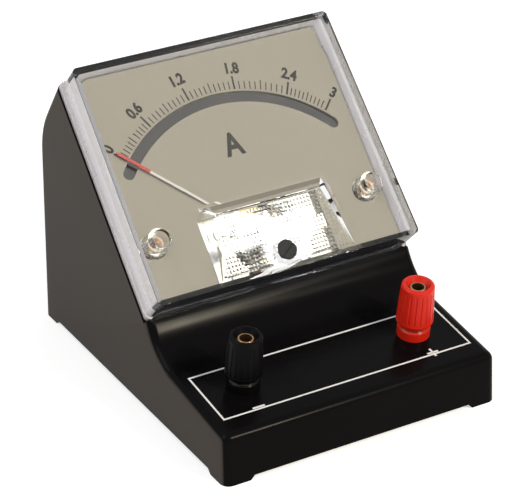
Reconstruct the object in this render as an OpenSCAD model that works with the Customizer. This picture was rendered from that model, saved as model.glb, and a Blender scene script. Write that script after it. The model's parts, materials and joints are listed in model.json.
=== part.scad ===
// Desktop moving-coil ammeter for teaching: a moulded case with a tilted dial under a clear cover,
// two binding posts on the front ledge, and the complete movement inside.
// X runs across the case, Y from front to back, Z up. The origin is the middle of the base.

/* [Case] */
// Width of the case at its base
case_w = 98; // [92:0.5:106]
// Depth of the case at its base, front to back
case_d = 125.5; // [124:0.5:134]
// Lean of each side wall
side_draft = 1; // [0.5:0.1:1.4]
// Lean of the front wall
front_draft = 1.6; // [0.8:0.1:2.4]
// Lean of the back wall below its curve
back_draft = 1; // [0.5:0.1:1.5]
// Thickness of the case walls
wall = 2.4; // [2:0.1:2.8]
// Thickness of the concave riser below the cover
riser_wall = 3.6; // [3.2:0.1:4]
// Rounding of the case's outer edges
edge_r = 3; // [1.5:0.5:3.5]
// Height of the ledge at the middle of its printed frame
ledge_h = 19.6; // [18:0.1:21]
// Middle of the printed frame, measured from the middle of the base
ledge_y = -43.3; // [-44:0.1:-42]
// Slope of the ledge, down to the front
ledge_slope = 7.5; // [5:0.5:9]
// Radius of the concave sweep from ledge to riser
ledge_fillet = 20; // [16:1:22]
// Angle of the riser above the sweep
riser_angle = 62; // [60:1:66]
// Height from the base at which the back starts to curve
back_lean = 36; // [33:1:38]
// Radius of the curve at the top of the back
back_r = 26; // [20:1:30]
// Height of the relief between the corner feet
foot_h = 1.5; // [1:0.1:2]
// Length of each corner foot along the walls
foot_len = 9; // [7:0.5:11]

/* [Tilted face] */
// Tilt of the face from the horizontal
face_tilt = 45; // [44:0.5:46]
// Middle of the face, measured back from the middle of the base
face_y = 17.7; // [17:0.1:18.5]
// Height of the middle of the face
face_z = 60.5; // [59.5:0.1:61.5]
// Land between the cover and the top edge of the case
crown_gap = 0.4; // [0.2:0.1:0.6]
// Width of the case's lip below the cover
lip_w = 2.2; // [1.8:0.1:2.6]
// Height of the case's lip above the face
lip_h = 2.2; // [1.8:0.1:2.4]

/* [Clear cover] */
// Width of the cover at its lower edge
cover_w = 95.5; // [95:0.1:95.8]
// Length of the cover up the slope
cover_len = 81.8; // [81:0.1:82.5]
// Depth of the cover, from the case to its front
cover_t = 13.5; // [13:0.1:14.5]
// Thickness of the cover's front
pane_t = 2.2; // [2:0.1:2.4]
// Thickness of the cover's side walls
cover_wall = 2; // [1.6:0.1:2.2]
// Thickness of the cover's seating flange
flange_t = 2; // [1.6:0.1:2.2]
// Width by which the flange stands out
flange_w = 0.6; // [0.4:0.1:0.8]
// Rounding of the cover's corners
cover_r = 1.6; // [1.2:0.1:2.4]
// Gap between the cover and the case's lip
seat_gap = 0.2; // [0.1:0.05:0.3]
// Width of the notch in the lower flange
notch_w = 23.6; // [18:0.1:26]
// Offset of the notch from the middle
notch_x = 0.8; // [0:0.1:1]
// Height of the raised window above the cover's front, at its upper edge
window_t = 2.8; // [2.4:0.1:3]
// Width of the raised window's outline at its top
window_top_w = 46.1; // [44:0.1:48]
// Width of the raised window's outline at its foot
window_foot_w = 51.5; // [50:0.1:54]
// Upper edge of the raised window's outline, measured from the face's middle
window_top_v = -13.1; // [-14:0.1:-12]
// Rise of the slanted band along the window's top
window_band = 4.7; // [4:0.1:5.4]
// Width lost on each side of the window to its slanted wall
window_slant = 2.7; // [2.2:0.1:3]
// Distance of each cover screw in from the cover's side
cover_screw_in = 9.35; // [9:0.05:10.5]
// Height of the cover screws up the face
cover_screw_v = -19.9; // [-21:0.1:-19]
// Diameter of the cover screws' shank
cover_screw_d = 3; // [2.6:0.1:3.2]
// Diameter of the cover screws' head
cover_head_d = 4.8; // [4.4:0.1:5.2]
// Depth of the well that holds each cover screw's head
well_depth = 7; // [6.4:0.1:7.4]
// Clearance round the head in its well
well_gap = 0.6; // [0.4:0.1:0.8]
// Wall of the tube round each well
tube_wall = 0.9; // [0.8:0.1:1.2]

/* [Dial] */
// Height of the dial's face above the case's face
dial_n = 4.8; // [4.4:0.1:5.2]
// Thickness of the dial plate
dial_t = 0.8; // [0.6:0.1:1]
// Gap round the dial inside the cover
dial_gap = 0.4; // [0.3:0.05:0.8]
// Width of the dial's cut-out for the movement
dial_cut_w = 43; // [42:0.5:44]
// Upper edge of the dial's cut-out
dial_cut_v = -15.6; // [-17:0.1:-15]
// Radius at which the scale marks start
mark_r = 52; // [51.5:0.1:52.5]
// Length of a numbered mark
long_mark = 4.5; // [4:0.1:5]
// Length of a half-way mark
mid_mark = 3.3; // [3:0.1:3.8]
// Length of a small mark
short_mark = 2.7; // [2.2:0.1:2.9]
// Width of a numbered mark
long_mark_w = 0.6; // [0.4:0.05:0.8]
// Width of a small mark
short_mark_w = 0.32; // [0.2:0.02:0.4]
// Thickness of the printed marks
print_t = 0.06; // [0.04:0.01:0.1]
// Angles of the numbered marks from the middle of the scale
numbered_angles = [44, 28, 9.4, -9.1, -29, -44];
// Small divisions between numbered marks
divisions = 10; // [10:10:20]
// Radius of the middle of the mirror slot
slot_r = 49.5; // [49:0.1:50]
// Width of the mirror slot
slot_w = 3.8; // [3.4:0.1:4.2]
// Angle of each end of the mirror slot from the middle of the scale
slot_angle = 48.5; // [47.5:0.5:49]
// Thickness of the mirror
mirror_t = 0.8; // [0.6:0.1:1]
// Overlap of the mirror behind the slot's edges
mirror_lap = 1.2; // [0.8:0.1:1.6]

/* [Movement] */
// Height of the pivot up the face
pivot_v = -28; // [-28.4:0.1:-27.6]
// Height of the pointer above the case's face
pointer_n = 5.7; // [5.6:0.1:6]
// Length of the pointer from its pivot
pointer_len = 56.2; // [55:0.1:57]
// Width of the pointer's arm
pointer_root_w = 0.8; // [0.7:0.1:1.2]
// Length of the coloured blade at the pointer's end
blade_len = 12.2; // [11:0.1:13]
// Width of the blade
blade_w = 1; // [0.8:0.1:1.4]
// Thickness of the pointer
pointer_t = 0.4; // [0.3:0.05:0.5]
// Travel past each end of the scale before the pointer meets its stop
over_travel = 3; // [2:0.5:3.5]
// Radius of the soft-iron core
core_r = 8.5; // [8:0.1:9]
// Length of the soft-iron core
core_len = 13; // [12:0.5:13.5]
// Radius of the bore between the pole shoes
bore_r = 11.6; // [11.4:0.1:12]
// Length of the pole shoes along the pivot axis
shoe_len = 14; // [13.5:0.5:15]
// Half of the pole shoes' height across the axis
shoe_half = 10; // [9.5:0.1:10.2]
// Distance of the pole shoes' flat backs from the axis
shoe_back = 16; // [15.5:0.1:17]
// Thickness of the magnet
magnet_t = 7; // [6:0.5:8]
// Width of the magnet
magnet_w = 14; // [12:0.5:16]
// Depth of the magnet's yoke behind the pole shoes
magnet_drop = 12; // [11:0.5:14]
// Clear space between the core and the coil former
coil_gap = 0.8; // [0.6:0.1:0.9]
// Thickness of the aluminium coil former
former_t = 0.5; // [0.4:0.1:0.6]
// Width of the coil former
former_w = 3.4; // [3:0.1:3.6]
// Thickness of the coil's winding
winding_t = 1; // [0.8:0.1:1.1]
// Radius of the pivot staffs
staff_r = 0.6; // [0.5:0.05:0.7]
// Radial clearance of the staffs in their jewels
jewel_gap = 0.05; // [0.02:0.01:0.08]
// Thickness of the hairsprings' strip
spring_strip = 0.12; // [0.08:0.02:0.16]
// Radius of the collets that hold the hairsprings' inner ends
collet_r = 1.4; // [1.2:0.1:1.5]
// Radius of the jewel screws
jewel_r = 1.5; // [1.3:0.1:1.6]
// Thickness of the bracket that carries the movement
bracket_t = 1.5; // [1.2:0.1:1.8]
// Thickness of the upper and lower bridges
bridge_t = 0.8; // [0.7:0.1:0.9]
// Distance of the upper bridge's pillars from the axis
pillar_x = 17; // [16.5:0.1:18]
// Distance of the lower bridge's pillars from the axis
lower_pillar_x = 13.8; // [13.5:0.1:14.4]
// Radius of the bridges' pillars
pillar_r = 1.3; // [1.1:0.1:1.5]
// Turns of each hairspring
spring_turns = 4; // [3:1:5]
// Outer radius of each hairspring
spring_r = 7.2; // [6.5:0.1:7.5]

/* [Zero adjuster] */
// Height of the zero adjuster up the face
zero_v = -34.2; // [-34.4:0.1:-34]
// Diameter of the adjuster's slotted head
zero_head_d = 6.4; // [6:0.1:6.6]
// Radial clearance of the adjuster in the cover
zero_gap = 0.05; // [0.02:0.01:0.1]
// Height of the adjuster's head above the window
zero_proud = 0.4; // [0.2:0.1:0.6]
// Radius of the adjuster's flange behind the cover
zero_flange_r = 3.9; // [3.7:0.1:4]
// Offset of the adjuster's pin from its centre
zero_throw = 0.8; // [0.6:0.1:1]
// Radius of the adjuster's pin
zero_pin_r = 0.5; // [0.4:0.05:0.6]
// Clearance on each side of the pin in the lever's fork
fork_gap = 0.1; // [0.06:0.02:0.14]
// Thickness of the zero lever
lever_t = 0.5; // [0.4:0.05:0.6]

/* [Binding posts] */
// Distance of each post in from the case's side
post_in = 18.2; // [17:0.1:20]
// Position of the posts, front to back
post_y = -42.1; // [-43:0.1:-41]
// Diameter of the plug socket in each post
socket_d = 4; // [3.9:0.05:4.1]
// Depth of the plug socket
socket_depth = 12; // [10:0.5:12]
// Diameter of the threaded stud
stud_d = 5.8; // [5.6:0.1:6]
// Length of the stud below the ledge
stud_drop = 12.5; // [11:0.5:13]
// Diameter of the cross hole for a bare wire
wire_hole_d = 2; // [1.6:0.1:2.2]
// Diameter of the insulating collar
collar_d = 10.6; // [10:0.1:11]
// Height of the insulating collar
collar_h = 3; // [2.6:0.1:3.4]
// Diameter of the collar's bush through the case
bush_d = 7.8; // [7.4:0.1:8]
// Clearance round the bush in the case
bush_gap = 0.1; // [0.05:0.05:0.2]
// Thickness of the clamping washer
washer_t = 0.7; // [0.6:0.1:0.9]
// Diameter of the clamping washer
washer_d = 9.4; // [9:0.1:9.8]
// Height of the knob above the clamping washer
knob_h = 15.3; // [14.5:0.1:16]
// Diameter of the knob at its widest
knob_d = 11.9; // [11.4:0.1:12.4]
// Diameter of the knob at its top
knob_top_d = 10.6; // [10:0.1:11]
// Diameter of the dish in the knob's top
dish_d = 8; // [7.6:0.1:8.2]
// Depth of the dish in the knob's top
dish_depth = 1.6; // [1.2:0.1:2]
// Radial clearance between the stud and what turns or slides on it
thread_gap = 0.06; // [0.04:0.01:0.09]
// Number of grip flutes round a knob
flutes = 20; // [16:2:24]
// Radius of the flutes
flute_r = 0.55; // [0.45:0.05:0.6]
// Lift of the knob for one turn
thread_pitch = 1; // [0.75:0.25:1.25]
// Width across the flats of the lock nuts
nut_af = 10; // [9:0.5:10]
// Height of the lock nuts
nut_h = 4.5; // [4:0.5:5]

/* [Ledge print] */
// Distance of the printed frame in from the case's sides
frame_in = 4.55; // [4:0.05:6]
// From the ledge's front edge back to the printed frame
frame_front_in = 7.67; // [7:0.01:9]
// From the printed frame back to the foot of the ledge's sweep
frame_back_in = 2.78; // [1.5:0.01:4]
// Width of the printed line
frame_line = 0.6; // [0.4:0.05:0.9]

/* [Bottom] */
// Thickness of the bottom plate
plate_t = 2; // [1.6:0.1:2.4]
// Clearance round the bottom plate
plate_gap = 0.3; // [0.2:0.05:0.4]
// Distance of the bottom screws in from the base's edges
screw_inset = 7; // [6.5:0.1:8]
// Diameter of the bottom screws
screw_d = 3; // [2.6:0.1:3.2]
// Diameter of the bottom screws' heads
screw_head_d = 5.6; // [5:0.1:5.8]
// Height of the bottom screws' bosses
boss_h = 10; // [8:0.5:11]

/* [Hidden] */
$fn = 48;

// Colours of the mouldings, metals and prints
black = [0.07, 0.07, 0.075];
clear = [0.85, 0.87, 0.88, 0.35];
dial_grey = [0.64, 0.62, 0.56];
ink = [0.05, 0.05, 0.05];
white = [0.93, 0.93, 0.93];
red = [0.78, 0.14, 0.07];
steel = [0.72, 0.73, 0.74];
brass = [0.80, 0.64, 0.34];
copper = [0.72, 0.38, 0.20];
iron = [0.42, 0.42, 0.44];
aluminium = [0.8, 0.81, 0.82];

// Plane geometry for outlines made of straight lines with rounded corners.
// A line is [a point on it, the direction in which it is followed].
function heading(a) = [cos(a), sin(a)];
function left_of(a) = [-sin(a), cos(a)];
function cross2(a, b) = a[0] * b[1] - a[1] * b[0];
function meet(k, m) =
    k[0] + heading(k[1]) * cross2(m[0] - k[0], heading(m[1])) / cross2(heading(k[1]), heading(m[1]));
function turn(a, b) = (b - a + 540) % 360 - 180;
function corner(k, m, r, n) =
    let (p = meet(k, m), t = turn(k[1], m[1]), side = sign(t))
    r <= 0 ? [p] :
    let (start = p - r * tan(abs(t) / 2) * heading(k[1]), c = start + side * r * left_of(k[1]))
    [for (i = [0:n]) c - side * r * left_of(k[1] + t * i / n)];
function rounded(lines, radii, n) =
    [for (i = [0:len(lines) - 1]) each corner(lines[i], lines[(i + 1) % len(lines)], radii[i], n)];
function inset(p, a, g) = [p + g * left_of(a), a];

// Places on the case
face_mid = [face_y, face_z];
up_slope = heading(face_tilt);
face_out = left_of(face_tilt);
crown = face_mid + (cover_len / 2 + crown_gap) * up_slope;
lip = face_mid - (cover_len / 2 + lip_w) * up_slope + lip_h * face_out;
ledge_line = [[ledge_y, ledge_h], 180 + ledge_slope];
riser_line = [lip, 180 + riser_angle];
front_line = [[-case_d / 2, 0], 270 - front_draft];
sweep_len = ledge_fillet * tan(abs(turn(riser_line[1], ledge_line[1])) / 2);
ledge_front = meet(ledge_line, front_line)[0];
ledge_back = (meet(riser_line, ledge_line) + sweep_len * heading(ledge_line[1]))[0];
plate_top = foot_h + plate_t;
screw_x = case_w / 2 - screw_inset;
screw_y = case_d / 2 - screw_inset;
below = 10;
above = 120;

// Side view of the case, in Y and Z, inset by g (and by g_riser along the ledge's sweep).
// The face can be raised clear of its real plane, to be cut back to it.
function case_lines(g, g_riser, raise) = [
    [[0, -below], 0],
    inset([case_d / 2, 0], 90 + back_draft, g),
    inset(crown, 90 + back_lean, g),
    [face_mid + raise * face_out, 180 + face_tilt],
    inset(lip, 180 + riser_angle, g_riser),
    inset([ledge_y, ledge_h], 180 + ledge_slope, g),
    inset([-case_d / 2, 0], 270 - front_draft, g)];
function case_outline(g, g_riser, raise) =
    rounded(case_lines(g, g_riser, raise), [0, back_r - g, 0, 0, ledge_fillet + g_riser, 0, 0], 8);
function half_w(z, g) = case_w / 2 - z * tan(side_draft) - g / cos(side_draft);
function ledge_z(y) = ledge_h + (y - ledge_y) * tan(ledge_slope);

// The cover's sides follow the lean of the case's walls
cover_taper = atan(sin(face_tilt) * tan(side_draft));
function cover_lines(g) = [
    [[0, -cover_len / 2 + g], 0],
    inset([cover_w / 2, -cover_len / 2], 90 + cover_taper, g),
    [[0, cover_len / 2 - g], 180],
    inset([-cover_w / 2, -cover_len / 2], 270 - cover_taper, g)];
function cover_outline(g, r) = rounded(cover_lines(g), [r, r, r, r], 6);
pane_n = cover_t - pane_t;
well_r = cover_head_d / 2 + well_gap;
tube_r = well_r + tube_wall;
shank_gap = 0.2;
thread_bite = 0.25;
bottom_head_h = 1.3;
cover_screw_x = cover_w / 2 - cover_screw_in;
cover_boss_h = 18;
cover_boss_floor = 2;
cover_shank_len = 8;

// The raised window: a wedge that falls to the face at its foot
window_foot_in = 0.3;
window_foot_v = -cover_len / 2 + flange_w + window_foot_in;
field_top_v = window_top_v - window_band;
field_foot_h = 0.06;
pocket_in = 1.6;
pocket_foot_in = 2.2;
function window_h(v) = window_t * (v - window_foot_v) / (field_top_v - window_foot_v);
zero_top = cover_t + window_h(zero_v) + zero_proud;

// Pieces between the case's face and the dial
bracket_end = 5;
bracket_down = 9;
bracket_up = 6;
bracket_half = cover_screw_x + bracket_end;
bracket_low = pivot_v - bracket_down;
bracket_high = cover_screw_v + bracket_up;
shoe_screw_x = shoe_back - 2;
shoe_screw_v = 7;
shoe_screw_r = 1;
spacer_r = 2.5;
dial_spacer_in = 7.4;
dial_spacer_x = cover_screw_x - dial_spacer_in;

// Heights along the pivot axis, measured out from the case's face
shoe_low = -shoe_len;
core_top = -(shoe_len - core_len) / 2;
core_low = core_top - core_len;
former_in = core_r + coil_gap;
former_out = former_in + former_t;
former_top = core_top + 1 + former_t;
former_low = core_low - 1 - former_t;
coil_out = former_out + winding_t;
coil_top = former_top + winding_t;
coil_low = former_low - winding_t;
support_w = 18;
support_t = 2.2;
support_h = 6;
support_neck = 4;
bridge_w = 4.4;
bridge_end = 2;
lower_bridge_end = 1.6;
spring_h = 0.4;
spring_gap = 0.1;
spring_clear = 0.5;
jewel_reach = 0.4;
staff_reach = 0.3;
running_gap = 0.1;
upper_spring_n = pointer_n + pointer_t + spring_clear;
bridge_n = upper_spring_n + spring_h + jewel_reach;
lever_n = bridge_n + bridge_t + running_gap;
staff_top = bridge_n + staff_reach;
lower_spring_n = coil_low - 4 * spring_h;
lower_bridge_n = lower_spring_n - 1.4;
staff_low = lower_bridge_n - staff_reach;
zero_flange_n = pane_n - running_gap;
zero_flange_t = 0.6;
scale_half = numbered_angles[0];
rest_turn = scale_half;
stop_r = 0.6;
stop_at = 13.5;
tail_len = 9;
arm_len = 7.5;
hub_r = 2.2;
counter_w = 1;
weight_r = 1;
anchor_w = 1.2;
stop_angle = scale_half + over_travel + asin((pointer_root_w / 2 + stop_r + 0.05) / stop_at);

// Heights along a post's axis, measured up from the ledge
stud_r = stud_d / 2;
sleeve_r = stud_r + thread_gap;
washer_z = collar_h;
knob_z = washer_z + washer_t;
knob_top = knob_z + knob_h;
stud_top = knob_top - dish_depth + 0.4;
post_x = case_w / 2 - post_in;
frame_w = case_w - 2 * frame_in;
frame_low = ledge_front + frame_front_in;
frame_high = ledge_back - frame_back_in;
insulator_t = 1;
tag_t = 0.6;
tag_len = 9;
lead_r = 0.7;
lead_in = 3;
lead_v = 4;
lead_lap = 3;
lead_rise = 14;
lead_drop = 22;
shunt_t = 0.8;
shunt_w = 5;
shunt_z = -wall - insulator_t - shunt_t;
tag_z = shunt_z - tag_t;

// Puts its children on the tilted face: Y up the slope, Z out of the face
module on_face(x = 0, v = 0, n = 0) {
    translate([0, face_y, face_z]) rotate([face_tilt, 0, 0]) translate([x, v, n]) children();
}

// Puts its children on the ledge at a post, with Z along the post
module on_ledge(x, y = post_y) {
    translate([x, y, ledge_z(y)]) rotate([ledge_slope, 0, 0]) children();
}

// Puts its children on the pivot axis, turned with the pointer
module on_pivot(n = 0, angle = 0) {
    on_face(0, pivot_v, n) rotate([0, 0, angle]) children();
}

module at_corners() {
    for (x = [-1, 1], y = [-1, 1]) translate([x * screw_x, y * screw_y, 0]) children();
}

module ring(r_out, r_in, h) {
    difference() {
        cylinder(r = r_out, h = h);
        translate([0, 0, -1]) cylinder(r = r_in, h = h + 2);
    }
}

// The case's form, before its edges are rounded, or its hollow
module case_form(g, g_riser, raise) {
    side = [[-half_w(-below, g), -below], [half_w(-below, g), -below],
        [half_w(above, g), above], [-half_w(above, g), above]];
    intersection() {
        rotate([90, 0, 90]) linear_extrude(case_w + 20, center = true)
            polygon(case_outline(g, g_riser, raise));
        rotate([90, 0, 0]) linear_extrude(case_d + 20, center = true) polygon(side);
    }
}

// Solid outer form with every edge rounded, cut flat at the face and below
module case_skin() {
    difference() {
        minkowski() {
            case_form(edge_r, edge_r, 2 * edge_r);
            sphere(edge_r, $fn = 24);
        }
        on_face(0, 0, 0) translate([-case_w, -cover_len / 2 - seat_gap, 0])
            cube([2 * case_w, 2 * case_w, case_w]);
        on_face(0, 0, lip_h) translate([-case_w, -cover_len / 2 - lip_w - 1, 0])
            cube([2 * case_w, 2 * case_w, case_w]);
        translate([-case_w, -case_d, -4 * below]) cube([2 * case_w, 2 * case_d, 4 * below]);
    }
}

// Relief under the skirt that leaves a foot at each corner
module foot_relief(length) {
    low = length / 2 - foot_len;
    rotate([90, 0, 0]) linear_extrude(2 * case_d, center = true)
        polygon([[-low, -1], [low, -1], [low, 0], [low - foot_h, foot_h], [foot_h - low, foot_h], [-low, 0]]);
}

// Boss for a bottom screw, with webs to both walls of its corner
module corner_boss() {
    web = 2;
    translate([0, 0, plate_top]) {
        cylinder(d = 2.2 * screw_d, h = boss_h);
        translate([0, -web / 2, 0]) cube([screw_inset - wall / 2, web, boss_h]);
        translate([-web / 2, 0, 0]) cube([web, screw_inset - wall / 2, boss_h]);
    }
}

module cover_boss() {
    cylinder(r = tube_r, h = cover_boss_h);
    translate([0, -wall / 2, 0]) cube([case_w / 2 - cover_screw_x - wall - 0.4, wall, cover_boss_h]);
}

module housing() {
    color(black) difference() {
        union() {
            difference() {
                case_skin();
                case_form(wall, riser_wall, 2 * edge_r);
            }
            for (x = [0, 1], y = [0, 1])
                mirror([x, 0, 0]) mirror([0, y, 0]) translate([screw_x, screw_y, 0]) corner_boss();
            for (x = [0, 1])
                mirror([x, 0, 0]) on_face(cover_screw_x, cover_screw_v, -cover_boss_h) cover_boss();
        }
        foot_relief(case_w);
        rotate([0, 0, 90]) foot_relief(case_d);
        at_corners() cylinder(r = screw_d / 2 - thread_bite, h = plate_top + boss_h - cover_boss_floor);
        for (x = [-1, 1]) {
            on_face(x * cover_screw_x, cover_screw_v, -cover_boss_h + cover_boss_floor)
                cylinder(r = cover_screw_d / 2 - thread_bite, h = cover_boss_h);
            on_ledge(x * post_x) translate([0, 0, -2 * wall])
                cylinder(r = bush_d / 2 + bush_gap, h = 4 * wall);
        }
    }
}

module bottom_plate() {
    half = half_w(plate_top, wall) - plate_gap;
    front = -case_d / 2 + plate_top * tan(front_draft) + wall + plate_gap;
    back = case_d / 2 - plate_top * tan(back_draft) - wall - plate_gap;
    color(black) difference() {
        translate([-half, front, foot_h]) cube([2 * half, back - front, plate_t]);
        at_corners() {
            cylinder(r = screw_d / 2 + shank_gap, h = plate_top + 1);
            translate([0, 0, foot_h - 0.01])
                cylinder(
                    r1 = screw_head_d / 2 + shank_gap, r2 = screw_d / 2 + shank_gap,
                    h = bottom_head_h + 0.1);
        }
    }
}

// Cross recess for a screwdriver, cut upwards from z = 0
module cross_recess(across, w, h) {
    for (size = [[across, w], [w, across]])
        translate([-size[0] / 2, -size[1] / 2, 0]) cube([size[0], size[1], h]);
}

// Countersunk screw with its head down and a cross recess
module bottom_screw() {
    difference() {
        union() {
            cylinder(r1 = screw_head_d / 2, r2 = screw_d / 2, h = bottom_head_h);
            cylinder(r = screw_d / 2 - thread_bite, h = plate_t + boss_h - 2 * cover_boss_floor);
        }
        translate([0, 0, -1]) cross_recess(screw_head_d / 2, 0.5, 1.8);
    }
}

module bottom_screws() {
    color(steel) at_corners() translate([0, 0, foot_h + 0.1]) bottom_screw();
}

// Corners of the window's outline, and of its sloping field, inset at the top and sides by g
// and at the foot by g_foot
function outline_corners(g, g_foot) =
    let (top = window_top_w / 2 - g, foot = window_foot_w / 2 - g, v = window_foot_v + g_foot)
    [[-foot, v], [foot, v], [top, window_top_v - g], [-top, window_top_v - g]];
function field_corners(g, g_foot) =
    let (
        top = window_top_w / 2 - window_slant - g,
        foot = window_foot_w / 2 - window_slant / 4 - g,
        v = window_foot_v + g_foot)
    [[-foot, v], [foot, v], [top, field_top_v], [-top, field_top_v]];

// The window's wedge, from below the front to its sloping field: rings of four corners
module window_wedge(g, g_foot, below_front) {
    outline = outline_corners(g, g_foot);
    field = field_corners(g, g_foot);
    foot_rise = max(field_foot_h, window_h(window_foot_v + g_foot));
    points = concat(
        [for (p = outline) [p[0], p[1], -below_front]],
        [for (p = outline) [p[0], p[1], 0]],
        [for (i = [0:3]) [field[i][0], field[i][1], i < 2 ? foot_rise : window_t]]);
    sides = [for (r = [0, 4], i = [0:3]) each
        let (a = r + i, b = r + (i + 1) % 4) [[a, b + 4, b], [a, a + 4, b + 4]]];
    polyhedron(points, concat([[0, 1, 2, 3], [11, 10, 9, 8]], sides));
}

module cover() {
    color(clear) difference() {
        union() {
            on_face() linear_extrude(flange_t) polygon(cover_outline(0, cover_r));
            on_face() linear_extrude(cover_t) polygon(cover_outline(flange_w, cover_r));
            on_face(0, 0, cover_t) window_wedge(0, 0, pane_t / 2);
        }
        difference() {
            on_face(0, 0, -1) linear_extrude(pane_n + 1)
                polygon(cover_outline(flange_w + cover_wall, cover_r - 1));
            for (x = [-1, 1]) on_face(x * cover_screw_x, cover_screw_v, bracket_t)
                cylinder(r = tube_r, h = pane_n);
        }
        on_face(0, 0, pane_n) window_wedge(pocket_in, pocket_foot_in, 1);
        for (x = [-1, 1]) on_face(x * cover_screw_x, cover_screw_v, 0) {
            cylinder(r = cover_screw_d / 2 + shank_gap, h = cover_t + 1);
            translate([0, 0, cover_t - well_depth]) cylinder(r = well_r, h = well_depth + 1);
        }
        on_face(0, zero_v, 0) cylinder(r = zero_head_d / 2 + zero_gap, h = zero_top + 1);
        on_face(notch_x - notch_w / 2, -cover_len / 2 - 1, -1)
            cube([notch_w, 1 + flange_w, flange_t + 2]);
    }
}

module cover_screw() {
    head_h = 1.8;
    head_z = cover_t - well_depth;
    difference() {
        union() {
            translate([0, 0, -cover_shank_len])
                cylinder(r = cover_screw_d / 2 - thread_bite, h = cover_shank_len + head_z);
            translate([0, 0, head_z]) cylinder(d = cover_head_d, h = head_h);
        }
        translate([0, 0, head_z + head_h - 1]) rotate([0, 0, 30])
            cross_recess(0.62 * cover_head_d, 0.7, 2);
    }
}

module cover_screws() {
    color(brass) for (x = [-1, 1]) on_face(x * cover_screw_x, cover_screw_v, 0) cover_screw();
}

// Outline of a curved slot with round ends, centred on the pivot
function bow(r, w) =
    let (arc_step = slot_angle / 24)
    concat(
        [for (a = [-slot_angle:arc_step:slot_angle + arc_step / 2]) (r + w / 2) * left_of(a)],
        [for (i = [1:11]) r * left_of(slot_angle) + w / 2 * left_of(slot_angle + 15 * i)],
        [for (a = [slot_angle:-arc_step:-slot_angle - arc_step / 2]) (r - w / 2) * left_of(a)],
        [for (i = [1:11]) r * left_of(-slot_angle) - w / 2 * left_of(15 * i - slot_angle)]);

module dial_plate() {
    g = flange_w + cover_wall + dial_gap;
    color(dial_grey) on_face(0, 0, dial_n - dial_t) linear_extrude(dial_t) difference() {
        polygon(cover_outline(g, 1.5));
        translate([-dial_cut_w / 2, -cover_len]) square([dial_cut_w, cover_len + dial_cut_v]);
        for (x = [-1, 1]) translate([x * cover_screw_x, cover_screw_v]) circle(r = tube_r + 0.3);
        translate([0, pivot_v]) polygon(bow(slot_r, slot_w));
    }
}

// Angle of mark i, read off between the numbered marks on each side of it
function mark_angle(i) =
    let (k = min(floor(i / divisions), len(numbered_angles) - 2), f = i / divisions - k)
    numbered_angles[k] * (1 - f) + numbered_angles[k + 1] * f;

module scale_marks() {
    last = divisions * (len(numbered_angles) - 1);
    color(ink) on_pivot(dial_n) linear_extrude(print_t) for (i = [0:last]) {
        long = i % divisions == 0;
        half_way = i % divisions == divisions / 2;
        length = long ? long_mark : half_way ? mid_mark : short_mark;
        width = long ? long_mark_w : short_mark_w;
        rotate(mark_angle(i)) translate([-width / 2, mark_r]) square([width, length]);
    }
}

module scale_mirror() {
    color(steel) on_pivot(dial_n - dial_t - mirror_t) linear_extrude(mirror_t)
        polygon(bow(slot_r, slot_w + 2 * mirror_lap));
}

module dial_spacers() {
    for (x = [-1, 1]) color(brass) on_face(x * dial_spacer_x, pivot_v, bracket_t)
        cylinder(r = spacer_r, h = dial_n - dial_t - bracket_t);
}

// Stamped plate across the case's two bosses, open below the coil
module movement_bracket() {
    color(steel) on_face() linear_extrude(bracket_t) difference() {
        translate([-bracket_half, bracket_low]) square([2 * bracket_half, bracket_high - bracket_low]);
        translate([0, pivot_v]) circle(r = bore_r + 0.4);
        for (x = [-1, 1]) {
            translate([x * cover_screw_x, cover_screw_v]) circle(r = cover_screw_d / 2 + shank_gap);
            for (v = [-1, 1])
                translate([x * shoe_screw_x, pivot_v + v * shoe_screw_v]) circle(r = shoe_screw_r + 0.1);
        }
    }
}

module bracket_screws() {
    color(steel) for (x = [-1, 1], v = [-1, 1]) on_face(x * shoe_screw_x, pivot_v + v * shoe_screw_v, 0) {
        translate([0, 0, -4]) cylinder(r = shoe_screw_r, h = 4 + bracket_t);
        translate([0, 0, bracket_t]) cylinder(r = 1.8 * shoe_screw_r, h = 1);
    }
}

module pole_shoes() {
    color(iron) on_pivot(shoe_low) difference() {
        translate([-shoe_back, -shoe_half, 0]) cube([2 * shoe_back, 2 * shoe_half, shoe_len]);
        translate([0, 0, -1]) cylinder(r = bore_r, h = shoe_len + 2);
        for (x = [-1, 1], v = [-1, 1])
            translate([x * shoe_screw_x, v * shoe_screw_v, shoe_len - 4.2]) cylinder(r = shoe_screw_r, h = 5);
    }
}

module field_magnet() {
    outer = shoe_back + magnet_t;
    drop = shoe_len + magnet_drop;
    color(iron) on_pivot(-drop - magnet_t) rotate([90, 0, 0]) linear_extrude(magnet_w, center = true)
        difference() {
            translate([-outer, 0]) square([2 * outer, drop + magnet_t - 2]);
            translate([-shoe_back, magnet_t]) square([2 * shoe_back, drop]);
        }
}

module iron_core() {
    color(iron) on_pivot(core_low) cylinder(r = core_r, h = core_len);
}

// Brass bars above and below that hold the core between the pole shoes, clear of the coil's swing
module core_supports() {
    color(brass) for (s = [0, 1]) on_pivot(core_low + core_len / 2 - support_h / 2) mirror([0, s, 0]) {
        translate([-support_w / 2, shoe_half, 0]) cube([support_w, support_t, support_h]);
        difference() {
            translate([-support_neck / 2, core_r - 1, 0])
                cube([support_neck, shoe_half - core_r + 1, support_h]);
            translate([0, 0, -1]) cylinder(r = core_r, h = support_h + 2);
        }
    }
}

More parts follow.
